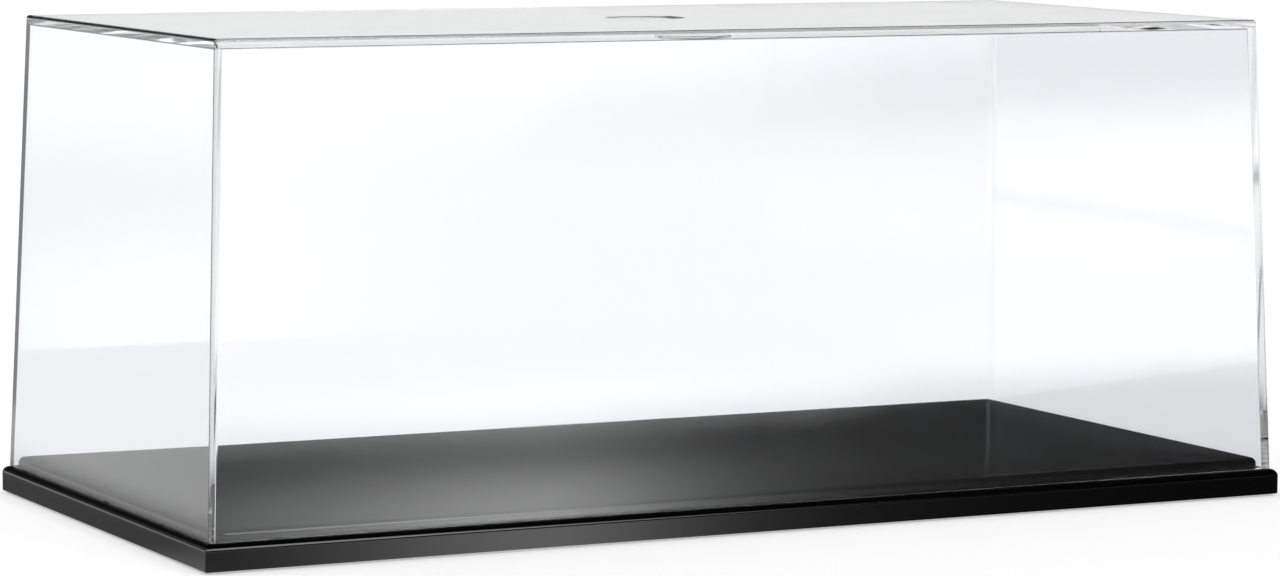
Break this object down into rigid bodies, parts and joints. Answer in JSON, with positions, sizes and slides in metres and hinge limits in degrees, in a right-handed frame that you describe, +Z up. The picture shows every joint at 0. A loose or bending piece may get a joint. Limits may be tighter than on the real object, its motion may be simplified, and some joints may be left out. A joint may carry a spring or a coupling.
{
  "type": "display case",
  "caption": "Clear box-shaped cover with slightly leaning walls that lifts off a low black plinth base on rubber pads; keeps dust off a scale model.",
  "frame": {"origin": "middle of the footprint, on the surface that the case stands on", "axes": "+X along the case to the right, +Y from the front to the back, +Z up"},
  "size_m": [0.325, 0.156, 0.1345],
  "materials": {
    "base_plastic": "black injection-moulded styrene; polished sides, slightly hazed top",
    "clear_plastic": "clear injection-moulded polystyrene, polished on both sides",
    "pad_rubber": "soft black self-adhesive rubber"
  },
  "bodies": {
    "base": {"base": "base_plastic", "foot_pad_front_left": "pad_rubber", "foot_pad_front_right": "pad_rubber", "foot_pad_back_left": "pad_rubber", "foot_pad_back_right": "pad_rubber"},
    "cover": {"cover": "clear_plastic"}
  },
  "joints": [
    {"name": "cover_lift", "type": "slide", "parent": "base", "child": "cover", "axis": [0, 0, 1], "range_m": [0, 0.15]}
  ]
}
